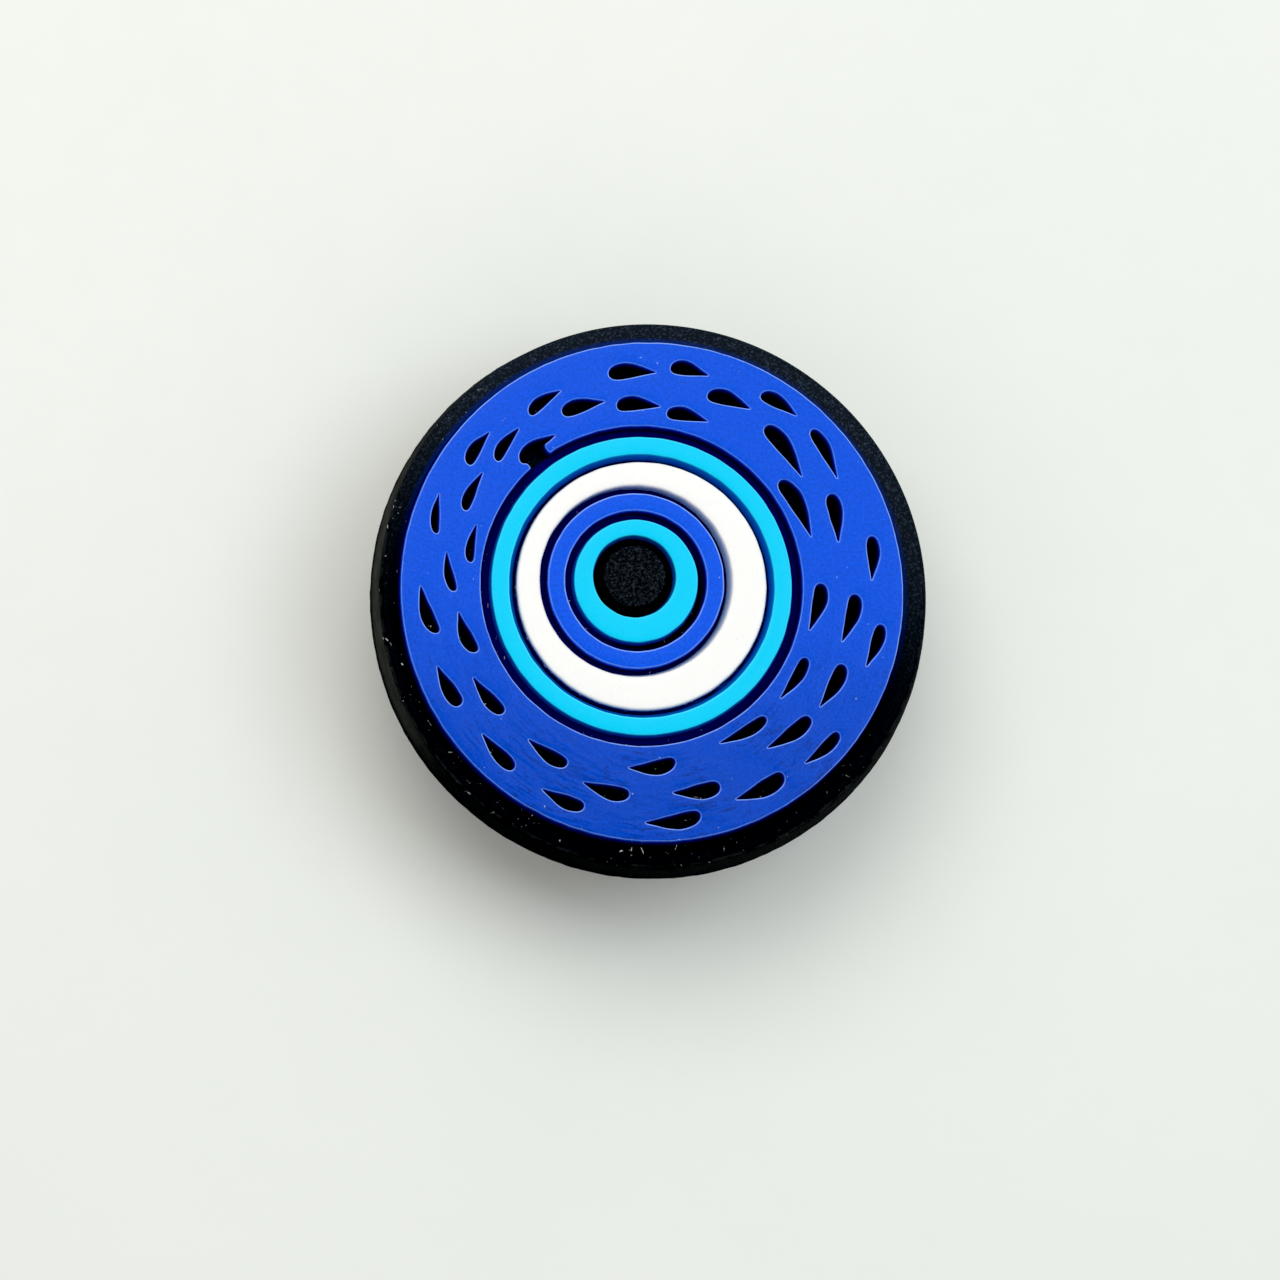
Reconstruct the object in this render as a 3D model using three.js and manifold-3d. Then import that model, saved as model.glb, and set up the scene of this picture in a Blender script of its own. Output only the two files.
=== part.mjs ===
// Evil eye shoe charm: a moulded soft PVC disc with raised colour layers and a push-in stud.
// Millimetres, +Z up. The origin is the centre of the stud button's flat foot, which is how
// the charm stands on a table; the decorated face looks up along +Z.

import * as THREE from 'three';
import { mergeVertices } from 'three/addons/utils/BufferGeometryUtils.js';
import Module from 'manifold-3d';

// ---------------------------------------------------------------- driving dimensions

const DISC_DIAMETER = 28.4;
const BASE_THICKNESS = 2.8;
const RELIEF_HEIGHT = 0.9;

const BUTTON_DIAMETER = 10.5;
const BUTTON_HEIGHT = 2.4;
const NECK_DIAMETER = 6.0;
const NECK_LENGTH = 5.2;
const FLANGE_DIAMETER = 11.4;
const FLANGE_THICKNESS = 0.8;
const FLANGE_CLEARANCE = 0.3;

// Diameters of the colour layers, from the rim inwards.
const BLUE_FIELD_DIAMETER = 25.6;
const BLUE_FIELD_HOLE = 16.4;
const OUTER_CYAN_DIAMETER = 15.3;
const OUTER_CYAN_HOLE = 13.5;
const WHITE_DIAMETER = 12.7;
const WHITE_HOLE = 9.8;
const INNER_BLUE_DIAMETER = 9.0;
const INNER_BLUE_HOLE = 7.2;
const INNER_CYAN_DIAMETER = 6.3;
const INNER_CYAN_HOLE = 4.2;
const PUPIL_DIAMETER = 3.2;

// The relief sits a hair left of the disc's middle. Within it the eye looks up and to the
// left: each inner set of circles is a little off centre.
const RELIEF_CENTRE = new THREE.Vector2(-0.13, 0.04);
const OUTER_SET_CENTRE = new THREE.Vector2(-0.55, 0.26);
const INNER_SET_CENTRE = new THREE.Vector2(-0.85, 0.5);
const PUPIL_CENTRE = new THREE.Vector2(-0.93, 0.73);

// Heights that follow from the driving dimensions.
const DISC_BACK = BUTTON_HEIGHT + NECK_LENGTH;
const DISC_FACE = DISC_BACK + BASE_THICKNESS;

const RIM_SEGMENTS = 96;
const RING_SEGMENTS = 72;
const STUD_SEGMENTS = 48;
const DROP_CURVE_SEGMENTS = 4;

// ---------------------------------------------------------------- materials

const BLACK = '#17191d';
const ROYAL_BLUE = '#2259e0';
const CYAN = '#1bd4fb';
const WHITE = '#f8f8f4';
const SOFT_PVC_ROUGHNESS = 0.5;
const SANDED_PVC_ROUGHNESS = 0.8;

function softPvc(color, roughness = SOFT_PVC_ROUGHNESS) {
  return new THREE.MeshStandardMaterial({ color, roughness, metalness: 0 });
}

// ---------------------------------------------------------------- teardrop openings

// Every drop has a pointed tail and a round head, and swims anticlockwise round the eye.
// tail and head are [bearing in degrees from +X, radius from the disc's centre]; outer and
// inner say how far the drop bulges away from and towards the centre between the two.
const DROPS = [
  // outer row
  { tail: [3.5, 11.2], head: [15, 11.55], outer: 0.4, inner: 0.25 },
  { tail: [32, 11.15], head: [46, 11.7], outer: 0.4, inner: 0.25 },
  { tail: [51, 11.75], head: [61.5, 11.6], outer: 0.45, inner: 0.25 },
  { tail: [75.5, 11.5], head: [85.5, 11.5], outer: 0.5, inner: 0.25 },
  { tail: [89, 11.25], head: [101.5, 11.3], outer: 0.5, inner: 0.3 },
  { tail: [114.5, 11.25], head: [125, 10.95], outer: 0.4, inner: 0.2 },
  { tail: [136, 11.55], head: [146, 11.3], outer: 0.45, inner: 0.2 },
  { tail: [156, 11.9], head: [166, 11.35], outer: 0.3, inner: 0.15 },
  { tail: [179.5, 11.8], head: [192, 11.2], outer: 0.45, inner: 0.25 },
  { tail: [200, 11.65], head: [211.5, 11.55], outer: 0.35, inner: 0.4 },
  { tail: [220.5, 11.4], head: [232.5, 11.6], outer: 0.35, inner: 0.35 },
  { tail: [241, 11.65], head: [252.5, 11.65], outer: 0.4, inner: 0.3 },
  { tail: [268, 11.85], head: [282, 11.65], outer: 0.5, inner: 0.3 },
  { tail: [291.5, 11.4], head: [305.5, 11.4], outer: 0.55, inner: 0.3 },
  { tail: [311.5, 11.65], head: [323, 11.8], outer: 0.4, inner: 0.2 },
  { tail: [341, 11.5], head: [352.5, 11.75], outer: 0.4, inner: 0.25 },
  // middle row
  { tail: [15.5, 9.85], head: [29.5, 10.4], outer: 0.45, inner: 0.3 },
  { tail: [38, 9.7], head: [56, 10.25], outer: 0.55, inner: 0.3 },
  { tail: [62, 10.7], head: [74.5, 10.5], outer: 0.5, inner: 0.3 },
  { tail: [104, 10.0], head: [117, 10.15], outer: 0.45, inner: 0.3 },
  { tail: [129.5, 10.7], head: [140.5, 10.3], outer: 0.4, inner: 0.2 },
  { tail: [145.5, 10.5], head: [157.5, 10.35], outer: 0.35, inner: 0.2 },
  { tail: [170, 10.65], head: [181, 10.1], outer: 0.3, inner: 0.2 },
  { tail: [187, 9.95], head: [200, 9.55], outer: 0.45, inner: 0.25 },
  { tail: [206.5, 10.2], head: [220, 9.95], outer: 0.35, inner: 0.35 },
  { tail: [230.5, 9.95], head: [244, 9.95], outer: 0.4, inner: 0.3 },
  { tail: [250, 10.45], head: [263.5, 10.5], outer: 0.45, inner: 0.3 },
  { tail: [275.5, 10.35], head: [289, 10.45], outer: 0.5, inner: 0.3 },
  { tail: [306, 9.85], head: [321.5, 10.2], outer: 0.45, inner: 0.3 },
  { tail: [325.5, 10.3], head: [339.5, 10.35], outer: 0.45, inner: 0.3 },
  { tail: [345.5, 9.95], head: [360, 10.3], outer: 0.5, inner: 0.25 },
  // inner row
  { tail: [19.5, 8.6], head: [41.5, 8.7], outer: 0.5, inner: 0.35 },
  { tail: [72, 9.2], head: [85.5, 9.15], outer: 0.45, inner: 0.25 },
  { tail: [87.5, 9.5], head: [101, 9.6], outer: 0.5, inner: 0.25 },
  { tail: [160, 9.55], head: [172, 9.35], outer: 0.3, inner: 0.15 },
  { tail: [262, 9.15], head: [277.5, 8.75], outer: 0.5, inner: 0.25 },
  { tail: [293.5, 8.45], head: [312, 8.6], outer: 0.35, inner: 0.25 },
  { tail: [320, 8.45], head: [337, 8.5], outer: 0.35, inner: 0.25 },
  { tail: [346.5, 8.2], head: [363.5, 8.55], outer: 0.5, inner: 0.25 },
];

// One drop runs out into the groove round the outer cyan ring through a short channel.
const RUNOUT_DROP = { tail: [122, 9.35], head: [136, 9.3], outer: 0.5, inner: 0.2 };
const RUNOUT_BEARING = 131;
const RUNOUT_WIDTH = 1.0;
const RUNOUT_FLARE = 0.2;
const RUNOUT_INNER_RADIUS = 8.3;
const RUNOUT_OUTER_RADIUS = 9.35;

// Where the widest points and the control points of a drop's curves sit along its length.
const CREST_AT = 0.66;
const BELLY_AT = 0.74;
const SHOULDER_REACH = 0.22;
const TAIL_REACH = 0.25;
const TAIL_SLOPE = 0.38;
const HEAD_ROUNDNESS = 0.6;

function polar(bearing, radius) {
  const angle = THREE.MathUtils.degToRad(bearing);
  return new THREE.Vector2(radius * Math.cos(angle), radius * Math.sin(angle));
}

function teardrop(path, { tail, head, outer, inner }) {
  const { lerp } = THREE.MathUtils;
  const at = (u, v) => polar(lerp(tail[0], head[0], u), lerp(tail[1], head[1], u) + v);
  const curve = (a, b, end) => path.bezierCurveTo(a.x, a.y, b.x, b.y, end.x, end.y);
  const point = at(0, 0);

  path.moveTo(point.x, point.y);
  curve(at(TAIL_REACH, outer * TAIL_SLOPE), at(CREST_AT - SHOULDER_REACH, outer), at(CREST_AT, outer));
  curve(at(CREST_AT + SHOULDER_REACH, outer), at(1, outer * HEAD_ROUNDNESS), at(1, 0));
  curve(at(1, -inner * HEAD_ROUNDNESS), at(BELLY_AT + SHOULDER_REACH, -inner), at(BELLY_AT, -inner));
  curve(at(BELLY_AT - SHOULDER_REACH, -inner), at(TAIL_REACH, -inner * TAIL_SLOPE), point);
  return path;
}

function runoutChannel() {
  const outward = polar(RUNOUT_BEARING, 1);
  const across = new THREE.Vector2(-outward.y, outward.x);
  const at = (radius, side) => outward.clone().multiplyScalar(radius).addScaledVector(across, side);
  const waist = (RUNOUT_INNER_RADIUS + RUNOUT_OUTER_RADIUS) / 2;
  const narrow = RUNOUT_WIDTH / 2;
  const wide = narrow + RUNOUT_FLARE;
  const corners = [
    [at(RUNOUT_INNER_RADIUS, -wide), at(waist, -narrow), at(RUNOUT_OUTER_RADIUS, -wide)],
    [at(RUNOUT_OUTER_RADIUS, wide), at(waist, narrow), at(RUNOUT_INNER_RADIUS, wide)],
  ];
  const shape = new THREE.Shape();
  for (const [start, control, end] of corners) {
    if (shape.curves.length === 0) shape.moveTo(start.x, start.y);
    else shape.lineTo(start.x, start.y);
    shape.quadraticCurveTo(control.x, control.y, end.x, end.y);
  }
  shape.closePath();
  return shape;
}

// ---------------------------------------------------------------- solids

const wasm = await Module();
wasm.setup();

function toManifold(geometry) {
  const plain = geometry.clone();
  plain.deleteAttribute('normal');
  plain.deleteAttribute('uv');
  const merged = mergeVertices(plain);
  const vertProperties = new Float32Array(merged.attributes.position.array);
  const triVerts = new Uint32Array(merged.index.array);
  return new wasm.Manifold(new wasm.Mesh({ numProp: 3, vertProperties, triVerts }));
}

function fromManifold(solid) {
  const mesh = solid.getMesh();
  const geometry = new THREE.BufferGeometry();
  geometry.setAttribute('position', new THREE.BufferAttribute(mesh.vertProperties, 3));
  geometry.setIndex(new THREE.BufferAttribute(mesh.triVerts, 1));
  return geometry;
}

function circle(path, diameter, centre = new THREE.Vector2()) {
  path.absarc(centre.x, centre.y, diameter / 2, 0, 2 * Math.PI, false);
  return path;
}

function extrude(shape, depth, curveSegments) {
  return new THREE.ExtrudeGeometry(shape, { depth, curveSegments, bevelEnabled: false });
}

function namedMesh(name, geometry, material) {
  const shaded = geometry.index ? geometry.toNonIndexed() : geometry;
  shaded.computeVertexNormals();
  const mesh = new THREE.Mesh(shaded, material);
  mesh.name = name;
  return mesh;
}

// A flat ring of one colour. holeOffset moves the hole's centre off the ring's own centre.
function colourRing(name, color, diameter, hole, holeOffset = new THREE.Vector2()) {
  const shape = circle(new THREE.Shape(), diameter);
  shape.holes.push(circle(new THREE.Path(), hole, holeOffset));
  return namedMesh(name, extrude(shape, RELIEF_HEIGHT, RING_SEGMENTS / 2), softPvc(color));
}

// ---------------------------------------------------------------- sub-parts

// The disc is widest at its trimmed back edge, and its wall leans in towards the face.
function baseDisc() {
  const edge = DISC_DIAMETER / 2;
  const recess = FLANGE_DIAMETER / 2 + FLANGE_CLEARANCE;
  const backRound = 0.25;
  const wallDraft = 0.3;
  const lip = 0.15;
  const profile = [
    new THREE.Vector2(0, FLANGE_THICKNESS),
    new THREE.Vector2(recess, FLANGE_THICKNESS),
    new THREE.Vector2(recess, 0),
    new THREE.Vector2(edge - backRound, 0),
    new THREE.Vector2(edge, backRound),
    new THREE.Vector2(edge - wallDraft, BASE_THICKNESS - lip),
    new THREE.Vector2(edge - wallDraft - lip, BASE_THICKNESS),
    new THREE.Vector2(0, BASE_THICKNESS),
  ];
  const geometry = new THREE.LatheGeometry(profile, RIM_SEGMENTS);
  geometry.rotateX(Math.PI / 2);
  return namedMesh('base_disc', geometry, softPvc(BLACK, SANDED_PVC_ROUGHNESS));
}

function blueField() {
  const shape = circle(new THREE.Shape(), BLUE_FIELD_DIAMETER);
  shape.holes.push(circle(new THREE.Path(), BLUE_FIELD_HOLE, OUTER_SET_CENTRE));
  const plain = toManifold(extrude(shape, RELIEF_HEIGHT, RIM_SEGMENTS / 2));
  const cutterHeight = 3 * RELIEF_HEIGHT;
  const cut = (solid, outline) => {
    const cutter = extrude(outline, cutterHeight, DROP_CURVE_SEGMENTS);
    cutter.translate(0, 0, -RELIEF_HEIGHT);
    return solid.subtract(toManifold(cutter));
  };
  const outlines = [...DROPS, RUNOUT_DROP].map((drop) => teardrop(new THREE.Shape(), drop));
  const solid = [...outlines, runoutChannel()].reduce(cut, plain);
  return namedMesh('blue_field', fromManifold(solid), softPvc(ROYAL_BLUE));
}

function pupil() {
  const shape = circle(new THREE.Shape(), PUPIL_DIAMETER);
  const geometry = extrude(shape, RELIEF_HEIGHT, RING_SEGMENTS / 4);
  return namedMesh('pupil', geometry, softPvc(BLACK, SANDED_PVC_ROUGHNESS));
}

// Button, neck and flange are one moulding, bonded into the recess in the disc's back.
function shoeStud() {
  const button = BUTTON_DIAMETER / 2;
  const neck = NECK_DIAMETER / 2;
  const flange = FLANGE_DIAMETER / 2;
  const foot = 3.9;
  const dimple = 1.2;
  const dimpleDepth = 1.5;
  const topSlope = 0.5;
  const neckFillet = 0.6;
  const bellyHeight = 1.1;
  const profile = [
    new THREE.Vector2(0, dimpleDepth),
    new THREE.Vector2(dimple, dimpleDepth),
    new THREE.Vector2(dimple, 0),
    new THREE.Vector2(foot, 0),
    new THREE.Vector2(button - topSlope, bellyHeight / 2),
    new THREE.Vector2(button, bellyHeight),
    new THREE.Vector2(button, BUTTON_HEIGHT - topSlope),
    new THREE.Vector2(button - topSlope, BUTTON_HEIGHT),
    new THREE.Vector2(neck + neckFillet, BUTTON_HEIGHT),
    new THREE.Vector2(neck, BUTTON_HEIGHT + neckFillet),
    new THREE.Vector2(neck, DISC_BACK - neckFillet),
    new THREE.Vector2(neck + neckFillet, DISC_BACK),
    new THREE.Vector2(flange, DISC_BACK),
    new THREE.Vector2(flange, DISC_BACK + FLANGE_THICKNESS),
    new THREE.Vector2(0, DISC_BACK + FLANGE_THICKNESS),
  ];
  const geometry = new THREE.LatheGeometry(profile, STUD_SEGMENTS);
  geometry.rotateX(Math.PI / 2);
  return namedMesh('shoe_stud', geometry, softPvc(BLACK));
}

// ---------------------------------------------------------------- assembly

function placed(centre, z, ...children) {
  const group = new THREE.Group();
  group.position.set(centre.x, centre.y, z);
  group.add(...children);
  return group;
}

const discCentre = new THREE.Vector2();
const innerHoleShift = INNER_SET_CENTRE.clone().sub(OUTER_SET_CENTRE);
const pupilHoleShift = PUPIL_CENTRE.clone().sub(INNER_SET_CENTRE);

const relief = placed(
  RELIEF_CENTRE,
  DISC_FACE,
  blueField(),
  placed(
    OUTER_SET_CENTRE,
    0,
    colourRing('outer_cyan_ring', CYAN, OUTER_CYAN_DIAMETER, OUTER_CYAN_HOLE),
    colourRing('white_ring', WHITE, WHITE_DIAMETER, WHITE_HOLE, innerHoleShift),
  ),
  placed(
    INNER_SET_CENTRE,
    0,
    colourRing('inner_blue_ring', ROYAL_BLUE, INNER_BLUE_DIAMETER, INNER_BLUE_HOLE),
    colourRing('inner_cyan_ring', CYAN, INNER_CYAN_DIAMETER, INNER_CYAN_HOLE, pupilHoleShift),
  ),
  placed(PUPIL_CENTRE, 0, pupil()),
);

const charm = new THREE.Group();
charm.add(placed(discCentre, DISC_BACK, baseDisc()), relief, shoeStud());

export default charm;
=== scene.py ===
# Evil eye shoe charm: fine meshes, materials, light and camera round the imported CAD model.
# Lengths in the script are millimetres, turned into Blender's metres where a mesh, light or
# camera is made. South is the side nearest the viewer (-Y), east is +X.

import math

import bpy
import numpy as np
from mathutils import Matrix, Vector, noise
from mathutils.geometry import delaunay_2d_cdt
from mathutils.kdtree import KDTree


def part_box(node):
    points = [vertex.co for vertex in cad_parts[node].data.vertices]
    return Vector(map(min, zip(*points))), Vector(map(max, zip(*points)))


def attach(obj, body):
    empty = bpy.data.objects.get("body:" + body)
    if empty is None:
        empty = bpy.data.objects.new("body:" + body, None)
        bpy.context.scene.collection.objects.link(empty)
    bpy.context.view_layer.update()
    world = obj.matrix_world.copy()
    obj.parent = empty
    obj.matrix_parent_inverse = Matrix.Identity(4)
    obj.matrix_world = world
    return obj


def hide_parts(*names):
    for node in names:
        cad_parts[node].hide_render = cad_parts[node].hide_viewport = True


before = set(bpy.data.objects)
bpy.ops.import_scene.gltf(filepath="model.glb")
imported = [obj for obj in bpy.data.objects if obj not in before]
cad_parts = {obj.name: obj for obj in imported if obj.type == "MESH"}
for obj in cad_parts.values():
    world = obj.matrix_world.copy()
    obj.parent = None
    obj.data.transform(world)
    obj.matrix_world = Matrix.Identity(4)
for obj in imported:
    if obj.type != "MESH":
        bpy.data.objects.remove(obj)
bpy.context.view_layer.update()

MM = 0.001
TOUCHING = 0.001
POINT_DIGITS = 4


# ---------------------------------------------------------------- reading the frame

def box_mm(node):
    """Lowest and highest corner of a CAD node, in mm."""
    low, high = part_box(node)
    return np.array(low) / MM, np.array(high) / MM


def circle_mm(node):
    """The centre of a round CAD node, laid on the floor, and its outer radius, in mm."""
    low, high = box_mm(node)
    x, y, _ = (low + high) / 2
    return (x, y, 0.0), (high - low)[0] / 2


def welded(node):
    """A CAD node's points in mm without doubles, and its faces as lists of their numbers."""
    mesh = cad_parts[node].data
    numbers = {}
    which = []
    for vertex in mesh.vertices:
        key = tuple(round(c / MM, POINT_DIGITS) for c in vertex.co)
        which.append(numbers.setdefault(key, len(numbers)))
    faces = [[which[v] for v in polygon.vertices] for polygon in mesh.polygons]
    return np.array(list(numbers)), faces


def loops(pairs):
    """Directed number pairs joined end to end into closed lists."""
    following = dict(pairs)
    lists = []
    while following:
        here = next(iter(following))
        loop = []
        while here in following:
            loop.append(here)
            here = following.pop(here)
        lists.append(loop)
    return lists


def top_outlines(node):
    """The closed outlines of a flat CAD node's top face, each with the material on its left."""
    points, faces = welded(node)
    top = points[:, 2].max()
    edges = set()
    for face in faces:
        if all(points[v, 2] > top - TOUCHING for v in face):
            edges.update(zip(face, face[1:] + face[:1]))
    border = [(a, b) for a, b in edges if (b, a) not in edges]
    return [points[loop, :2] for loop in loops(border)]


def turned_profile(node):
    """The outline of a turned CAD node as (radius, height) from axis to axis, bottom first."""
    points, faces = welded(node)
    in_plane = (np.abs(points[:, 1]) < TOUCHING) & (points[:, 0] > -TOUCHING)
    edges = set()
    for face in faces:
        edges.update(zip(face, face[1:] + face[:1]))
    neighbours = {}
    for a, b in edges:
        if in_plane[a] and in_plane[b]:
            neighbours.setdefault(a, set()).add(b)
            neighbours.setdefault(b, set()).add(a)
    poles = [v for v in neighbours if points[v, 0] < TOUCHING]
    here = min(poles, key=lambda v: points[v, 2])
    order = [here]
    while True:
        onward = [v for v in neighbours[here] if v not in order]
        if not onward:
            break
        here = onward[0]
        order.append(here)
    return points[order][:, [0, 2]]


# ---------------------------------------------------------------- curves

def smooth_section(points, spacing):
    """Evenly spaced points on a smooth curve through these, leaving out the last one."""
    steps = np.diff(points, axis=0)
    chords = np.linalg.norm(steps, axis=1)
    slopes = steps / chords[:, None]
    before, after = chords[:-1, None], chords[1:, None]
    middle = (slopes[:-1] * after + slopes[1:] * before) / (before + after)
    tangents = np.vstack([2 * slopes[0] - middle[0], middle, 2 * slopes[-1] - middle[-1]])
    along = np.concatenate([[0], np.cumsum(chords)])
    places = np.linspace(0, along[-1], max(2, round(along[-1] / spacing)), endpoint=False)
    part = np.searchsorted(along, places, side="right") - 1
    length = chords[part][:, None]
    t = (places - along[part])[:, None] / length
    return (
        (2 * t**3 - 3 * t**2 + 1) * points[part]
        + (t**3 - 2 * t**2 + t) * length * tangents[part]
        + (3 * t**2 - 2 * t**3) * points[part + 1]
        + (t**3 - t**2) * length * tangents[part + 1]
    )


SHARP_TURN = math.radians(95)
CORNER_PASSES = 5
CIRCLE_WITHIN = 0.01


def smooth_outline(points, spacing):
    """A faceted closed outline made fine and smooth.

    A circle stays a circle, and other outlines keep their sharp corners, a little blunted.
    """
    centre = points.mean(axis=0)
    radii = np.linalg.norm(points - centre, axis=1)
    if np.ptp(radii) < CIRCLE_WITHIN:
        start = math.atan2(*(points[0] - centre)[::-1])
        back = math.atan2(*(points[1] - centre)[::-1]) - start
        turn = 1 if math.sin(back) > 0 else -1
        count = round(2 * math.pi * radii.mean() / spacing)
        angle = start + turn * np.arange(count) * 2 * math.pi / count
        return centre + radii.mean() * np.stack([np.cos(angle), np.sin(angle)], axis=1)
    before = points - np.roll(points, 1, axis=0)
    after = np.roll(points, -1, axis=0) - points
    cross = before[:, 0] * after[:, 1] - before[:, 1] * after[:, 0]
    turns = np.abs(np.arctan2(cross, (before * after).sum(axis=1)))
    corners = np.flatnonzero(turns > SHARP_TURN)
    points = np.roll(points, -corners[0], axis=0)
    ends = list(corners - corners[0]) + [len(points)]
    closed = np.vstack([points, points[:1]])
    sections = [smooth_section(closed[a:b + 1], spacing) for a, b in zip(ends, ends[1:])]
    outline = np.vstack(sections)
    for _ in range(CORNER_PASSES):
        outline = (np.roll(outline, 1, axis=0) + 2 * outline + np.roll(outline, -1, axis=0)) / 4
    return outline


def into_material(outline):
    """The direction into the material at each point of a closed outline."""
    along = np.roll(outline, -1, axis=0) - np.roll(outline, 1, axis=0)
    normal = np.stack([-along[:, 1], along[:, 0]], axis=1)
    return normal / np.linalg.norm(normal, axis=1)[:, None]


def is_hole(outline):
    """A closed outline with the material on its left turns clockwise round a hole."""
    x, y = outline.T
    return (x * np.roll(y, -1) - y * np.roll(x, -1)).sum() < 0


def raised(outline, heights):
    """An outline's points in space at these heights."""
    return np.column_stack([outline, np.broadcast_to(heights, len(outline))])


TINY = 1e-6
ROOM_USED = 0.95


def room(outline, direction):
    """How far each point can move that way before it meets one coming from the other side."""
    gaps = outline[None, :, :] - outline[:, None, :]
    ahead = np.einsum("ijk,ik->ij", gaps, direction)
    squared = (gaps**2).sum(axis=2)
    reach = np.where(ahead > TINY, squared / (2 * np.maximum(ahead, TINY)), np.inf)
    return ROOM_USED * reach.min(axis=1)


POUR_WOBBLE = 0.018
WOBBLES_PER_MM = 1.6
POUR_SLICE = 5.0


def uneven(outline):
    """A closed outline moved in and out a little, as the edge of a poured colour is."""
    inward = into_material(outline)
    places = outline * WOBBLES_PER_MM
    drift = [noise.noise(Vector((x, y, POUR_SLICE))) for x, y in places]
    shift = POUR_WOBBLE * np.array(drift)
    limit = np.where(shift > 0, room(outline, inward), room(outline, -inward))
    return outline + inward * np.clip(shift, -limit / 3, limit / 3)[:, None]


CORNER_SHARE = 0.45


def rounded(profile, radius, steps=5):
    """A profile with each inner corner replaced by a curve that starts radius before it."""
    points = [profile[0]]
    for before, corner, after in zip(profile, profile[1:], profile[2:]):
        back, ahead = before - corner, after - corner
        behind, beyond = np.linalg.norm(back), np.linalg.norm(ahead)
        reach = min(radius, CORNER_SHARE * behind, CORNER_SHARE * beyond)
        start = corner + back / behind * reach
        end = corner + ahead / beyond * reach
        for t in np.linspace(0, 1, steps):
            points.append((1 - t) ** 2 * start + 2 * t * (1 - t) * corner + t**2 * end)
    points.append(profile[-1])
    return np.array(points)


# ---------------------------------------------------------------- meshes

def placed(name, data):
    """A new object in the scene."""
    item = bpy.data.objects.new(name, data)
    bpy.context.scene.collection.objects.link(item)
    return item


def piece(node, material, points, faces, depths=None):
    """A smooth-shaded object from points in mm, which stands for a CAD node.

    depths is how far each point lies under the top face, in mm, for the material.
    """
    name = node + "_moulding"
    mesh = bpy.data.meshes.new(name)
    mesh.from_pydata([tuple(p * MM) for p in points], [], [list(map(int, f)) for f in faces])
    mesh.polygons.foreach_set("use_smooth", [True] * len(mesh.polygons))
    if depths is not None:
        mesh.attributes.new("depth", "FLOAT", "POINT").data.foreach_set("value", depths)
    mesh.update()
    mesh.materials.append(material)
    item = placed(name, mesh)
    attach(item, "root")
    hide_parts(node)


def in_material(places, outlines):
    """Which places lie in the material: there a line to the east crosses the outlines oddly."""
    x, y = places[:, 0], places[:, 1]
    inside = np.zeros(len(places), bool)
    for outline in outlines:
        for (x1, y1), (x2, y2) in zip(outline, np.roll(outline, -1, axis=0)):
            if y1 != y2:
                passes = ((y1 > y) != (y2 > y)) & (x < x1 + (y - y1) * (x2 - x1) / (y2 - y1))
                inside ^= passes
    return inside


EDGE_CLEARANCE = 0.6
FILL_EPSILON = 1e-7


def filled(outlines, spacing=None):
    """Points and triangles that fill closed outlines, with even points inside if spaced."""
    points = np.vstack(outlines)
    edges = []
    start = 0
    for outline in outlines:
        count = len(outline)
        edges += [(start + i, start + (i + 1) % count) for i in range(count)]
        start += count
    if spacing:
        tree = KDTree(len(points))
        for i, (x, y) in enumerate(points):
            tree.insert((x, y, 0), i)
        tree.balance()
        low, high = points.min(axis=0), points.max(axis=0)
        grid = []
        for row, y in enumerate(np.arange(low[1], high[1], spacing * math.sqrt(0.75))):
            for x in np.arange(low[0] + spacing / 2 * (row % 2), high[0], spacing):
                if tree.find((x, y, 0))[2] > EDGE_CLEARANCE * spacing:
                    grid.append((x, y))
        grid = np.array(grid).reshape(-1, 2)
        points = np.vstack([points, grid[in_material(grid, outlines)]])
    flat = [Vector(p) for p in points]
    _, _, faces, sources, _, _ = delaunay_2d_cdt(flat, edges, [], 1, FILL_EPSILON)
    triangles = np.array([[sources[v][0] for v in face] for face in faces])
    middles = points[triangles].mean(axis=1)
    return points, triangles[in_material(middles, outlines)]


FLOOR_SINK = 0.05
ROUND_STEPS = 6
WALL_STEPS = (1, 0.66, 0.33)
SWELLS_PER_MM = 0.45


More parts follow.
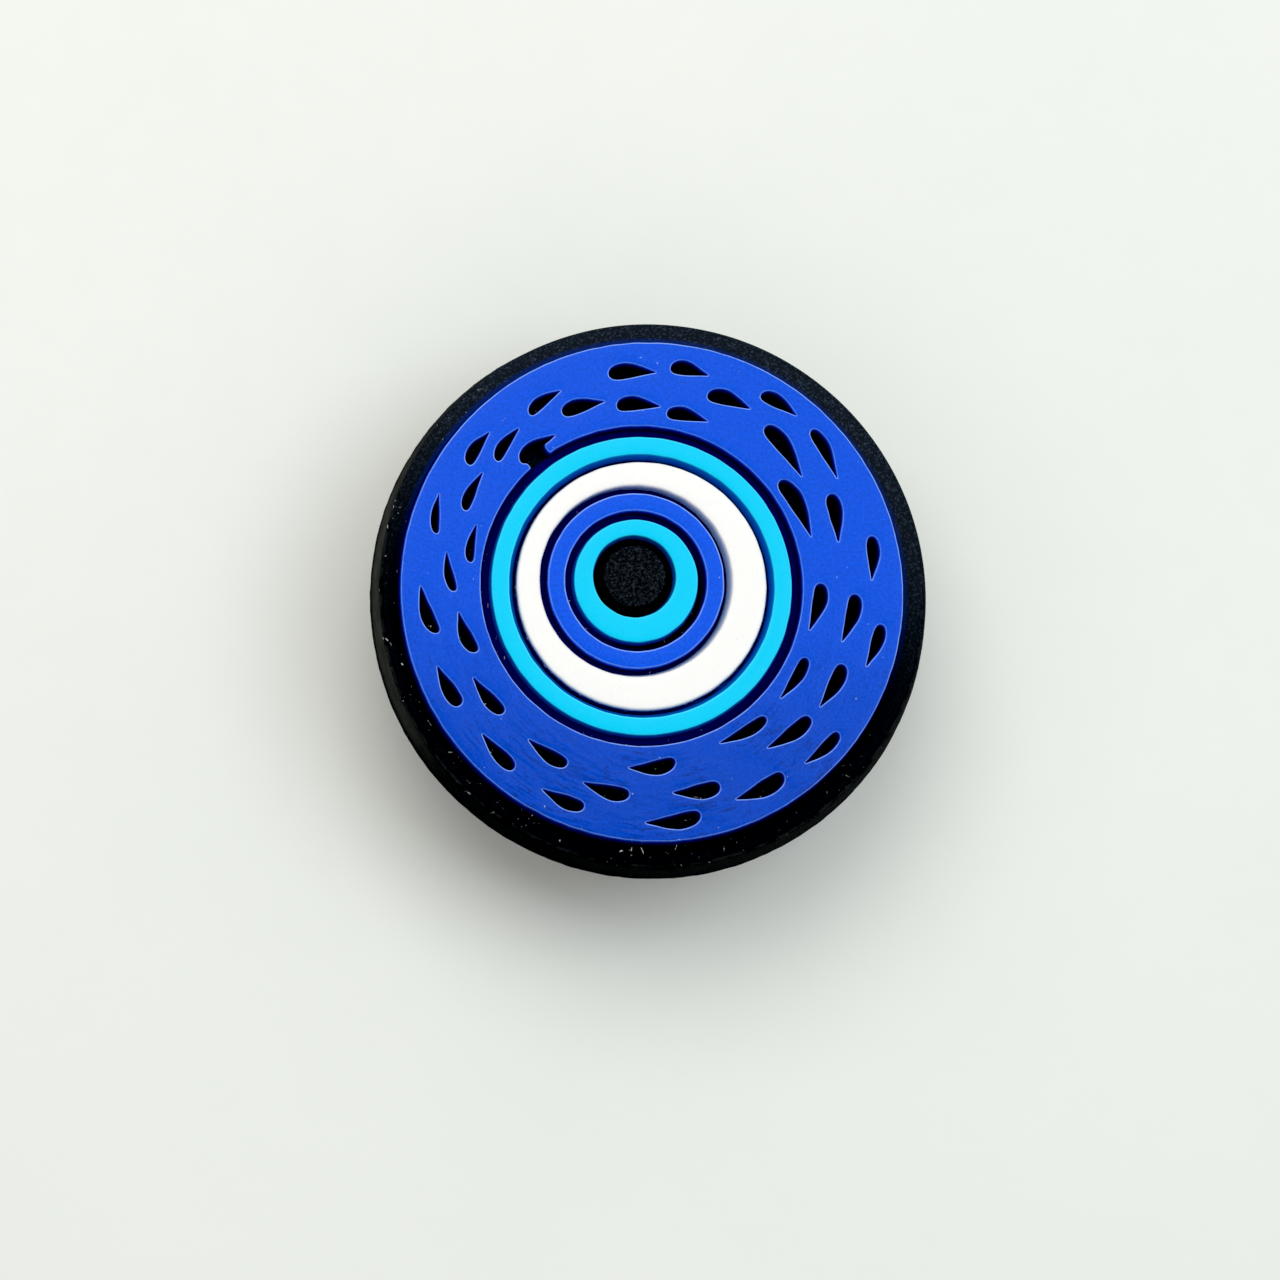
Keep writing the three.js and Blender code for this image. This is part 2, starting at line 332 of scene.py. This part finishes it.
def colour_layer(node, material, drafts, edge, spacing, fill, swell, lean=(0, 0)):
    """A poured colour layer: drafted walls, rounded top edges and a softly uneven face.

    drafts is how much wider the layer is at its floor, outside and in its holes, edge the
    width and height of the rounding, spacing and fill the distances between points along
    the edges and inside, swell the height of the unevenness, and lean how far the floor of
    its holes lies to one side of their top.
    """
    edge_run, edge_rise = edge
    low, high = box_mm(node)
    floor, face = low[2] - FLOOR_SINK, high[2]
    shoulder = face - edge_rise
    turns = np.linspace(0, math.pi / 2, ROUND_STEPS)
    rises = [(edge_run * (1 - math.cos(t)), shoulder + edge_rise * math.sin(t)) for t in turns]
    points, faces, tops, floors = [], [], [], []
    count = 0
    for rough in top_outlines(node):
        outline = uneven(smooth_outline(rough, spacing))
        inward = into_material(outline)
        out_room, in_room = room(outline, -inward), room(outline, inward)
        hole = is_hole(outline)
        draft = drafts[1] - inward @ np.array(lean) if hole else np.full(len(inward), drafts[0])
        rings = []
        for part in WALL_STEPS:
            moved = np.minimum(draft * part, out_room)
            wall_heights = shoulder - (shoulder - floor) * moved / draft
            rings.append(raised(outline - inward * moved[:, None], wall_heights))
        for run, height in rises:
            moved = np.minimum(run, in_room)
            rings.append(raised(outline + inward * moved[:, None], height))
        size = len(outline)
        for lower in range(len(rings) - 1):
            for i in range(size):
                a, b = count + lower * size + i, count + lower * size + (i + 1) % size
                faces.append([a, b, b + size, a + size])
        floors.append((rings[0][:, :2], count))
        tops.append((rings[-1][:, :2], count + (len(rings) - 1) * size))
        points += rings
        count += len(rings) * size
    for outlines, spaced, turned in ((tops, fill, 1), (floors, None, -1)):
        numbers = np.concatenate([start + np.arange(len(o)) for o, start in outlines])
        flat, triangles = filled([o for o, _ in outlines], spaced)
        extra = flat[len(numbers):]
        numbers = np.concatenate([numbers, count + np.arange(len(extra))])
        points.append(np.column_stack([extra, np.full(len(extra), face)]))
        count += len(extra)
        faces += list(numbers[triangles][:, ::turned])
    points = np.vstack(points)
    depths = face - points[:, 2]
    for p in points:
        if p[2] > shoulder:
            lift = noise.noise(Vector((p[0] * SWELLS_PER_MM, p[1] * SWELLS_PER_MM, face)))
            p[2] += swell * (lift - 1) / 2 * (p[2] - shoulder) / edge_rise
    piece(node, material, points, faces, depths)


PROFILE_STEP = 0.5


def turned_piece(node, material, corner, segments, finish):
    """A turned CAD node again, finer and with soft corners. finish(angle, r, z) gives r, z."""
    profile = rounded(turned_profile(node), corner)
    fine = [profile[0]]
    for a, b in zip(profile, profile[1:]):
        cuts = max(1, math.ceil(np.linalg.norm(b - a) / PROFILE_STEP))
        fine += [a + (b - a) * k / cuts for k in range(1, cuts + 1)]
    ring_profile = fine[1:-1]
    points = [(0, 0, fine[0][1])]
    for r, z in ring_profile:
        for k in range(segments):
            angle = 2 * math.pi * k / segments
            radius, height = finish(angle, r, z)
            points.append((radius * math.cos(angle), radius * math.sin(angle), height))
    points.append((0, 0, fine[-1][1]))
    last = len(points) - 1
    faces = []
    for k in range(segments):
        after = (k + 1) % segments
        faces.append([0, 1 + after, 1 + k])
        for ring in range(len(ring_profile) - 1):
            a, b = 1 + ring * segments + k, 1 + ring * segments + after
            faces.append([a, b, b + segments, a + segments])
        top = 1 + (len(ring_profile) - 1) * segments
        faces.append([top + k, top + after, last])
    piece(node, material, np.array(points), faces)


# ---------------------------------------------------------------- materials

PVC_IOR = 1.5
SOAK_WEIGHT = 0.6
SOAK_BY_COLOUR = (0.9, 0.95, 1.0)
SPECK_DRIFT = 1.5
SPECK_DRIFTS_PER_MM = 0.8
NOISE_RANGE = (0.3, 0.7)


class Shader:
    """A node material, with short calls for the nodes that the materials here share."""

    def __init__(self, name):
        self.material = bpy.data.materials.new(name)
        self.material.use_nodes = True
        self.tree = self.material.node_tree
        self.tree.nodes.clear()
        place = self.add("TexCoord", {}).outputs["Object"]
        self.mm = self.vector("MULTIPLY", place, (1 / MM,) * 3)
        self.flat = self.vector("MULTIPLY", self.mm, (1, 1, 0))
        self.x, self.y, self.z = self.add("SeparateXYZ", {"Vector": self.mm}).outputs

    def add(self, kind, inputs, **settings):
        """A node with its settings, and its inputs linked or set."""
        node = self.tree.nodes.new("ShaderNode" + kind)
        for key, value in settings.items():
            setattr(node, key, value)
        for key, value in inputs.items():
            if isinstance(value, bpy.types.NodeSocket):
                self.tree.links.new(value, node.inputs[key])
            else:
                node.inputs[key].default_value = value
        return node

    def math(self, operation, *values):
        """A Math node's result."""
        return self.add("Math", dict(enumerate(values)), operation=operation).outputs[0]

    def product(self, first, *others):
        """Several numbers multiplied."""
        for other in others:
            first = self.math("MULTIPLY", first, other)
        return first

    def vector(self, operation, *values):
        """A Vector Math node's result, a number or a vector."""
        node = self.add("VectorMath", dict(enumerate(values)), operation=operation)
        gives_number = operation in ("LENGTH", "DISTANCE", "DOT_PRODUCT")
        return node.outputs["Value" if gives_number else "Vector"]

    def span(self, value, low, high, to_low=0.0, to_high=1.0):
        """value from low to high turned smoothly into to_low to to_high."""
        inputs = {0: value, 1: low, 2: high, 3: to_low, 4: to_high}
        return self.add("MapRange", inputs, interpolation_type="SMOOTHSTEP").outputs[0]

    def blend(self, share, a, b):
        """Colour a with a share of colour b over it."""
        inputs = {0: share, 6: a, 7: b}
        return self.add("Mix", inputs, data_type="RGBA").outputs[2]

    def noise(self, per_mm, detail=2.0, rough=0.5, place=None):
        """Cloudy noise between 0 and 1, most of it within NOISE_RANGE."""
        inputs = {
            "Vector": place or self.mm,
            "Scale": per_mm,
            "Detail": detail,
            "Roughness": rough,
        }
        return self.add("TexNoise", inputs).outputs["Fac"]

    def specks(self, spacing, size, share, stretch=(1, 1, 1)):
        """1 on scattered specks about size mm across, in a share of cells of that spacing."""
        drift = self.add("TexNoise", {"Vector": self.mm, "Scale": SPECK_DRIFTS_PER_MM})
        shift = self.vector("MULTIPLY", drift.outputs["Color"], (SPECK_DRIFT,) * 3)
        place = self.vector("ADD", self.mm, shift)
        place = self.vector("MULTIPLY", place, tuple(s / spacing for s in stretch))
        cells = self.add("TexVoronoi", {"Vector": place, "Scale": 1.0})
        chance = self.add("SeparateColor", {"Color": cells.outputs["Color"]}).outputs[0]
        radius = size / 2 / spacing
        inside = self.span(cells.outputs["Distance"], radius, radius / 2)
        return self.math("MULTIPLY", inside, self.math("LESS_THAN", chance, share))

    def facing(self, x, y, z):
        """How squarely the surface faces that way."""
        normal = self.add("NewGeometry", {}).outputs["Normal"]
        return self.vector("DOT_PRODUCT", normal, (x, y, z))

    def bumped(self, height, depth, below=None):
        """The normal with a height map of that depth in mm on top."""
        inputs = {"Height": height, "Distance": depth * MM, "Strength": 1.0}
        if below:
            inputs["Normal"] = below
        return self.add("Bump", inputs).outputs["Normal"]

    def finish(self, colour, roughness, normal, specular, glow=0.0):
        """The shader itself. glow is the distance in mm that light travels under the surface."""
        inputs = {
            "Base Color": colour,
            "Roughness": roughness,
            "Normal": normal,
            "IOR": PVC_IOR,
            "Specular IOR Level": specular,
        }
        if glow:
            inputs["Subsurface Weight"] = SOAK_WEIGHT
            inputs["Subsurface Radius"] = SOAK_BY_COLOUR
            inputs["Subsurface Scale"] = glow * MM
        shader = self.add("BsdfPrincipled", inputs)
        self.add("OutputMaterial", {"Surface": shader.outputs[0]})
        return self.material


LINEAR_BELOW = 0.04045


def srgb(red, green, blue):
    """A colour from its 0 to 255 screen values."""
    shares = [c / 255 for c in (red, green, blue)]
    linear = [s / 12.92 if s < LINEAR_BELOW else ((s + 0.055) / 1.055) ** 2.4 for s in shares]
    return (*linear, 1.0)


BASE_LOW, BASE_HIGH = box_mm("base_disc")
FIELD_CENTRE, FIELD_RADIUS = circle_mm("blue_field")
RINGS_CENTRE, CYAN_RADIUS = circle_mm("outer_cyan_ring")
WHITE_RADIUS = circle_mm("white_ring")[1]
WHITE_MIDDLE = WHITE_RADIUS - 0.6


# The satin colours

SATIN = 0.11
SATIN_ROUGHNESS = (0.24, 0.31)
MOTTLES_PER_MM = 7.0
GRAINS_PER_MM = 9.0
PVC_GRAIN = 0.004
# Painted highlight along the rounded top edges: the depths where it starts and ends, and its
# least share.
EDGE_STARTS = (0.004, 0.014)
EDGE_ENDS = (0.085, 0.055)
LEAST_EDGE_HIGHLIGHT = 0.7
EDGE_HIGHLIGHT_IN_SHADE = 0.4
LINT_BLUE = srgb(190, 208, 245)
LINT_SHARE = 0.6
RIPPLES_PER_RADIAN = 6.0
RIPPLES_PER_MM = 3.0
RIPPLE_DEPTH = 0.05
# Painted shade: how much the creases and the south of the blue field are darkened, and where.
PAINTED_CREASE_SHADE = 0.4
PAINTED_SHADE_TO_SOUTH = (4.0, -13.0)
PAINTED_SOUTH_SHADE = 0.72


def ripples_and_painted_shade(s, shade, normal):
    """The blue field's shade, with painted shade darker to the south and in the creases of its
    pour ripples, and its normal.
    """
    south = s.span(s.y, *PAINTED_SHADE_TO_SOUTH)
    round_it = s.math("MULTIPLY", s.math("ARCTAN2", s.y, s.x), RIPPLES_PER_RADIAN)
    outward = s.math("MULTIPLY", s.vector("LENGTH", s.flat), RIPPLES_PER_MM)
    flow = s.add("CombineXYZ", {0: round_it, 1: outward}).outputs[0]
    waves = s.noise(1.0, 1.0, place=flow)
    crease = s.math("MULTIPLY", s.span(waves, 0.46, 0.5), s.span(waves, 0.54, 0.5))
    patches = s.math("MULTIPLY", s.span(s.noise(0.4, 1.0), 0.3, 0.6), south)
    # Painted shade in the creases and towards the south.
    crease = s.math("MULTIPLY", crease, s.math("MULTIPLY", patches, PAINTED_CREASE_SHADE))
    shade = s.math("MULTIPLY", shade, s.span(south, 0.0, 1.0, 1.0, PAINTED_SOUTH_SHADE))
    shade = s.math("MULTIPLY", shade, s.math("SUBTRACT", 1.0, crease))
    return shade, s.bumped(s.math("MULTIPLY", waves, patches), RIPPLE_DEPTH, normal)


def painted_edge_highlight(s, depth):
    """A painted highlight along the rounded top edge, uneven, and strongest where it faces the
    light from the north.
    """
    edge = s.math("MULTIPLY", s.span(depth, *EDGE_STARTS), s.span(depth, *EDGE_ENDS))
    uneven_highlight = s.span(s.noise(2.0), 0.3, 0.6, LEAST_EDGE_HIGHLIGHT, 1.0)
    lit = s.span(s.facing(0.4, 0.9, 0.0), -0.5, 0.5, EDGE_HIGHLIGHT_IN_SHADE, 1.0)
    return s.product(edge, uneven_highlight, lit)


def soft_pvc(
    name, colour, wall, edge, wall_starts, mottle, outer_wall=None, glow=0.0, painted_shade_and_ripples=False
):
    """Satin poured PVC with a faint grain: painted shade darker down its walls, and a painted
    highlight paler along its edges.

    wall is the colour of the painted wall shade, edge the colour of the painted edge highlight,
    wall_starts the depth in mm where the wall shade begins, mottle the share by which the shade
    drifts up and down from spot to spot, outer_wall a radius and a darker painted shadow colour
    for the walls from there out, glow how far light soaks in, and the last argument gives the
    blue field's ripples with their painted shade.
    """
    s = Shader(name)
    depth = s.add("Attribute", {}, attribute_name="depth").outputs["Fac"]
    shade = s.span(s.noise(MOTTLES_PER_MM, 4.0, 0.7), *NOISE_RANGE, 1 - mottle, 1 + mottle)
    normal = s.bumped(s.noise(GRAINS_PER_MM, 3.0, 0.6), PVC_GRAIN)
    if painted_shade_and_ripples:
        shade, normal = ripples_and_painted_shade(s, shade, normal)
    shades = s.add("CombineXYZ", {0: shade, 1: shade, 2: shade}).outputs[0]
    tint = s.vector("MULTIPLY", shades, colour[:3])
    # Painted highlight: the edge colour laid along the rounded top edges.
    base = s.blend(painted_edge_highlight(s, depth), tint, edge)
    # Painted shadow: from the outer_wall radius out, the wall colour is a darker navy with pale
    # flecks.
    if outer_wall:
        begins, outer_colour = outer_wall
        outside = s.span(s.vector("DISTANCE", s.flat, RINGS_CENTRE), begins, begins + 0.05)
        flecks = s.span(s.noise(3.5), 0.62, 0.7, 0.0, 0.6)
        wall = s.blend(outside, wall, s.blend(flecks, outer_colour, colour))
    # Painted shade: the wall colour laid on down the walls from wall_starts.
    base = s.blend(s.span(depth, wall_starts, 4 * wall_starts), base, wall)
    lint = s.math("MULTIPLY", s.specks(spacing=0.6, size=0.08, share=0.5), LINT_SHARE)
    base = s.blend(lint, base, LINT_BLUE)
    roughness = s.span(s.noise(6.0), *NOISE_RANGE, *SATIN_ROUGHNESS)
    return s.finish(base, roughness, normal, SATIN, glow)


# The blacks from the sandblasted mould

SAND_GRAIN = 0.03
# Painted sheen on the grain tips: weaker on the walls, to the south and inside the blue field.
GRAIN_TIPS = (0.44, 0.8)
WALL_TO_TOP = (0.3, 0.8)
WALL_SHINE = 0.2
TOP_ROUGHNESS = 0.5
NORTHWARD = (0.25, 1, 0)
SOUTH_TO_NORTH = (-6.0, 13.0)
LEAST_SHINE = 0.11
SOUTH_SHINE = 0.05
SHINE_INSIDE_FIELD = 0.2
# Painted blue bounce light on the rim, in the grooves among the rings and round the white ring.
RIM_BOUNCE_BLUE = srgb(12, 40, 120)
RIM_BOUNCE_WIDTHS = (0.45, 0.1)
GROOVE_BOUNCE_BLUE = srgb(10, 3, 98)
GROOVE_BOUNCE_STARTS = (3.0, 3.4)
GROOVE_BOUNCE_ENDS = (CYAN_RADIUS + 0.6, CYAN_RADIUS + 0.3)
WHITE_GROOVE_RADIUS = WHITE_RADIUS + 0.17
WHITE_GROOVE_WIDTHS = (0.4, 0.3)
GROOVE_WEST_BLUE = srgb(4, 36, 110)
GROOVE_EAST_BLUE = srgb(30, 130, 240)
# Painted light on the west of the side wall.
WALL_LIGHT_GREY = srgb(56, 58, 55)
WALL_LIGHT_STARTS = -10.5
WALL_LIGHT_BOTTOM = BASE_LOW[2] + 0.6
WALL_LIGHT_FULL = BASE_LOW[2] + 1.2
# Painted highlight along the lip.
LIP_HIGHLIGHT_GREY = srgb(84, 88, 90)
LIP_HIGHLIGHT_SHARE = 0.12
DUST_GREY = srgb(140, 144, 146)
DUST_SHARE = 0.6
HAIR_GREY = srgb(205, 209, 210)
HAIR_SHARE = 0.9
HAIR_DIRECTIONS = ((1.0, 0.3, 1.0), (0.3, 1.0, 1.0))


def painted_blue_bounce(s, base, north, from_field):
    """Painted blue bounce light on the black: along the blue field's edge to the north, on the
    floors of the grooves among the rings, and round the white ring, brighter to the east.
    """
    off_edge = s.math("ABSOLUTE", s.math("SUBTRACT", from_field, FIELD_RADIUS))
    rim_bounce = s.math("MULTIPLY", s.span(off_edge, *RIM_BOUNCE_WIDTHS), s.span(north, 0.0, 0.8))
    base = s.blend(rim_bounce, base, RIM_BOUNCE_BLUE)
    from_centre = s.vector("DISTANCE", s.flat, RINGS_CENTRE)
    among_rings = s.span(from_centre, *GROOVE_BOUNCE_ENDS)
    groove_bounce = s.math("MULTIPLY", among_rings, s.span(from_centre, *GROOVE_BOUNCE_STARTS))
    base = s.blend(groove_bounce, base, GROOVE_BOUNCE_BLUE)
    off_middle = s.math("ABSOLUTE", s.math("SUBTRACT", from_centre, WHITE_GROOVE_RADIUS))
    groove_blue = s.blend(s.span(s.x, -3.0, 6.0), GROOVE_WEST_BLUE, GROOVE_EAST_BLUE)
    return s.blend(s.span(off_middle, *WHITE_GROOVE_WIDTHS), base, groove_blue)


def painted_wall_light(s, base, upward):
    """Painted light on the side wall: grey patches, most of them to the west, above its trimmed
    foot.
    """
    west = s.span(s.x, WALL_LIGHT_STARTS, BASE_LOW[0], 0.08, 1.0)
    patches = s.span(s.noise(0.8, 3.0, 0.6), *NOISE_RANGE, 0.5, 1.0)
    above_foot = s.span(s.z, WALL_LIGHT_BOTTOM, WALL_LIGHT_FULL)
    wall_light = s.product(west, s.span(upward, 0.6, 0.3), patches, above_foot)
    return s.blend(wall_light, base, WALL_LIGHT_GREY)


def painted_lip_highlight(s, base, upward, north):
    """A painted highlight along the soft lip between the rim and the wall, a little paler on the
    south side.
    """
    lip = s.math("MULTIPLY", s.span(upward, 0.98, 0.85), s.span(upward, 0.3, 0.6))
    patches = s.span(s.noise(1.5, 3.0), 0.35, 0.65, 0.0, LIP_HIGHLIGHT_SHARE)
    return s.blend(s.product(lip, patches, s.span(north, 0.6, 0.1)), base, LIP_HIGHLIGHT_GREY)


def dust_and_hairs(s, base, upward):
    """Dust and short hairs of lint on the upper side, most of them to the south-west."""
    south_west = s.span(s.math("ADD", s.x, s.y), 8.0, -12.0)
    clusters = s.span(s.noise(0.5, 1.0), 0.3, 0.5, 0.2, 1.0)
    here = s.product(clusters, south_west, s.span(upward, 0.2, 0.5))
    dust = s.product(s.specks(spacing=0.3, size=0.08, share=0.6), here, DUST_SHARE)
    base = s.blend(dust, base, DUST_GREY)
    for stretch in HAIR_DIRECTIONS:
        hairs = s.product(s.specks(0.45, 0.09, 0.7, stretch), here, HAIR_SHARE)
        base = s.blend(hairs, base, HAIR_GREY)
    return base


def sanded_pvc(name, colour, pale, specular, wall_roughness, base_disc=False):
    """Black PVC from a sandblasted mould: a matt grain with a painted sheen on its tips.

    pale is the colour of the painted sheen, weaker on the walls, and wall_roughness is for the
    walls only. The base disc has more painted sheen towards the north and less inside the blue
    field, painted blue bounce light, painted light on its wall, a painted lip highlight, and
    dust.
    """
    s = Shader(name)
    upward = s.facing(0.0, 0.0, 1.0)
    grain = s.noise(GRAINS_PER_MM, 3.0, 0.7)
    # Painted sheen: pale colour on the grain tips, most on the tops.
    painted_sheen = s.span(upward, *WALL_TO_TOP, WALL_SHINE, 1.0)
    painted_sheen = s.math("MULTIPLY", s.span(grain, *GRAIN_TIPS), painted_sheen)
    if base_disc:
        north = s.span(s.vector("DOT_PRODUCT", s.mm, NORTHWARD), *SOUTH_TO_NORTH)
        from_field = s.vector("DISTANCE", s.flat, FIELD_CENTRE)
        painted_sheen = s.product(
            s.math("MAXIMUM", painted_sheen, LEAST_SHINE),
            s.span(north, 0.0, 1.0, SOUTH_SHINE, 1.0),
            s.span(from_field, FIELD_RADIUS, FIELD_RADIUS + 0.3, SHINE_INSIDE_FIELD, 1.0),
        )
    base = s.blend(painted_sheen, colour, pale)
    if base_disc:
        base = painted_blue_bounce(s, base, north, from_field)
        base = painted_wall_light(s, base, upward)
        base = painted_lip_highlight(s, base, upward, north)
        base = dust_and_hairs(s, base, upward)
    roughness = s.span(upward, *WALL_TO_TOP, wall_roughness, TOP_ROUGHNESS)
    return s.finish(base, roughness, s.bumped(grain, SAND_GRAIN), specular)


# Painted shade colour for the blue walls.
WALL_SHADE_BLUE = srgb(4, 10, 92)
# Painted highlight colour for the blue edges.
EDGE_HIGHLIGHT_BLUE = srgb(140, 175, 255)
PURE_WHITE = srgb(254, 254, 254)

BLUE = soft_pvc(
    "royal_blue_pvc", srgb(4, 81, 224), WALL_SHADE_BLUE, EDGE_HIGHLIGHT_BLUE,
    wall_starts=0.12, mottle=0.2, painted_shade_and_ripples=True,
)
IRIS_BLUE = soft_pvc(
    "iris_blue_pvc", srgb(4, 85, 232), WALL_SHADE_BLUE, EDGE_HIGHLIGHT_BLUE,
    wall_starts=0.12, mottle=0.2,
)
# Cyan: painted wall shade srgb(12, 108, 220) and painted edge highlight srgb(80, 225, 255).
CYAN = soft_pvc(
    "cyan_pvc", srgb(4, 206, 250), srgb(12, 108, 220), srgb(80, 225, 255),
    wall_starts=0.06, mottle=0.03,
)
# White: painted bluish wall shade, and from WHITE_MIDDLE out a darker painted shadow on the
# walls.
WHITE = soft_pvc(
    "white_pvc", PURE_WHITE, srgb(170, 205, 255), PURE_WHITE,
    wall_starts=0.12, mottle=0.0, outer_wall=(WHITE_MIDDLE, srgb(40, 60, 120)), glow=0.4,
)
BLACK = sanded_pvc(
    "black_sanded_pvc", srgb(3, 4, 7), srgb(62, 77, 96),
    specular=0.075, wall_roughness=1.0, base_disc=True,
)
PUPIL_BLACK = sanded_pvc(
    "pupil_sanded_pvc", srgb(2, 3, 5), srgb(50, 59, 72),
    specular=0.08, wall_roughness=1.0,
)
STUD_BLACK = sanded_pvc(
    "stud_pvc", srgb(26, 27, 30), srgb(44, 47, 52),
    specular=0.5, wall_roughness=0.4,
)


# ---------------------------------------------------------------- pieces

def blue_layers():
    colour_layer(
        "blue_field", BLUE,
        drafts=(0.12, 0.12), edge=(0.1, 0.12), spacing=0.05, fill=0.4, swell=0.04,
    )
    colour_layer(
        "inner_blue_ring", IRIS_BLUE,
        drafts=(0.1, 0.1), edge=(0.12, 0.12), spacing=0.07, fill=0.3, swell=0.03,
    )


def pale_layers():
    colour_layer(
        "outer_cyan_ring", CYAN,
        drafts=(0.12, 0.3), edge=(0.12, 0.13), spacing=0.07, fill=0.3, swell=0.03,
    )
    colour_layer(
        "white_ring", WHITE,
        drafts=(0.12, 0.16), edge=(0.14, 0.15), spacing=0.07, fill=0.3, swell=0.03,
        lean=(-0.12, 0.03),
    )
    colour_layer(
        "inner_cyan_ring", CYAN,
        drafts=(0.12, 0.12), edge=(0.12, 0.14), spacing=0.07, fill=0.3, swell=0.03,
    )


def pupil_dot():
    colour_layer(
        "pupil", PUPIL_BLACK,
        drafts=(0.08, 0.08), edge=(0.07, 0.07), spacing=0.06, fill=0.2, swell=0.03,
    )


WALL_SHARE = 0.9
WALL_SWELL = 0.07
WALL_WAVES = 3
WALL_WAVE_DEPTH = 0.02
WALL_SLICE = 2.0
TRIM_HEIGHT = 0.7
TRIM_ROUGHNESS = 0.05
TRIM_RAGS = 30
TRIM_RAGS_UP = 1.5


def base_body():
    def finish(angle, r, z):
        if r < WALL_SHARE * BASE_HIGH[0]:
            return r, z
        x, y = math.cos(angle), math.sin(angle)
        near_foot = max(0.0, 1 - (z - BASE_LOW[2]) / TRIM_HEIGHT)
        ragged = noise.noise(Vector((x * TRIM_RAGS, y * TRIM_RAGS, z * TRIM_RAGS_UP)))
        wavy = noise.noise(Vector((x * WALL_WAVES, y * WALL_WAVES, WALL_SLICE)))
        return r + TRIM_ROUGHNESS * near_foot * ragged + WALL_WAVE_DEPTH * wavy + WALL_SWELL, z

    turned_piece("base_disc", BLACK, corner=0.13, segments=360, finish=finish)


SEAM_HEIGHT = 0.05
SEAM_WIDTH = math.radians(2.5)
SEAM_FADES_WITHIN = 3


def stud():
    def finish(angle, r, z):
        from_seam = math.remainder(angle - math.pi / 2, math.pi)
        fade = min(1, r / SEAM_FADES_WITHIN)
        seam = SEAM_HEIGHT * math.exp(-(from_seam / SEAM_WIDTH) ** 2) * fade
        return r + seam - SEAM_HEIGHT, z

    turned_piece("shoe_stud", STUD_BLACK, corner=0.35, segments=192, finish=finish)


blue_layers()
pale_layers()
pupil_dot()
base_body()
stud()


# ---------------------------------------------------------------- floor, light and camera

FLOOR_HALF = 20000
FLOOR_LEVEL = -0.02
FLOOR_GLOSS = 0.3


def floor():
    s = Shader("pale_floor")
    colour = s.blend(s.noise(0.05, 3.0), srgb(234, 238, 235), srgb(240, 243, 240))
    roughness = s.span(s.noise(0.4), *NOISE_RANGE, 0.5, 0.6)
    normal = s.bumped(s.noise(1.5), 0.01)
    half = FLOOR_HALF * MM
    mesh = bpy.data.meshes.new("floor")
    corners = [(-half, -half), (half, -half), (half, half), (-half, half)]
    mesh.from_pydata([(x, y, FLOOR_LEVEL * MM) for x, y in corners], [], [(0, 1, 2, 3)])
    mesh.materials.append(s.finish(colour, roughness, normal, FLOOR_GLOSS))
    placed("floor", mesh)


def direction(bearing, elevation):
    """The way to a bearing in degrees anticlockwise from east and a height angle in degrees."""
    b, e = math.radians(bearing), math.radians(elevation)
    return Vector((math.cos(b) * math.cos(e), math.sin(b) * math.cos(e), math.sin(e)))


FACE_CENTRE = Vector((0, 0, box_mm("blue_field")[1][2]))


def lamp(name, bearing, elevation, distance, size, power, colour):
    """A round area light, aimed at the middle of the charm's face."""
    light = bpy.data.lights.new(name, "AREA")
    light.shape = "DISK"
    light.size = size * MM
    light.energy = power
    light.color = colour
    away = direction(bearing, elevation)
    item = placed(name, light)
    item.location = (FACE_CENTRE + away * distance) * MM
    item.rotation_euler = away.to_track_quat("Z", "Y").to_euler()


COOL = (0.86, 0.95, 1.0)
WARM = (1.0, 0.99, 0.92)
ROOM_COLOUR = (1.0, 0.98, 0.94, 1)
ROOM_LIGHT = 0.53


def lights():
    lamp("east_window", 12, 66, distance=420, size=250, power=0.445, colour=COOL)
    lamp("north_lamp", 115, 63, distance=260, size=200, power=0.285, colour=WARM)
    world = bpy.data.worlds.new("room")
    bpy.context.scene.world = world
    world.use_nodes = True
    background = world.node_tree.nodes["Background"]
    background.inputs["Color"].default_value = ROOM_COLOUR
    background.inputs["Strength"].default_value = ROOM_LIGHT


VIEW_TILT = 10.5
VIEW_BEARING = 235
VIEW_DISTANCE = 400
FRAME_WIDTH = 64.75
SENSOR_WIDTH = 36
SHORTEST_SIGHT = 0.01
LONGEST_SIGHT = 20
AIM_FROM_CENTRE = Vector((-0.79, -2.5, 0))


def camera():
    data = bpy.data.cameras.new("camera")
    data.sensor_width = SENSOR_WIDTH
    data.lens = SENSOR_WIDTH * VIEW_DISTANCE / FRAME_WIDTH
    data.clip_start = SHORTEST_SIGHT
    data.clip_end = LONGEST_SIGHT
    away = direction(VIEW_BEARING, 90 - VIEW_TILT)
    right = Vector((0, 1, 0)).cross(away).normalized()
    item = placed("camera", data)
    item.matrix_world = Matrix((right, away.cross(right), away)).transposed().to_4x4()
    item.location = (FACE_CENTRE + AIM_FROM_CENTRE + away * VIEW_DISTANCE) * MM
    bpy.context.scene.camera = item


BLACK_LEVEL = 0.009

floor()
lights()
camera()
view = bpy.context.scene.view_settings
view.view_transform = "Standard"
view.use_curve_mapping = True
view.curve_mapping.black_level = (BLACK_LEVEL,) * 3
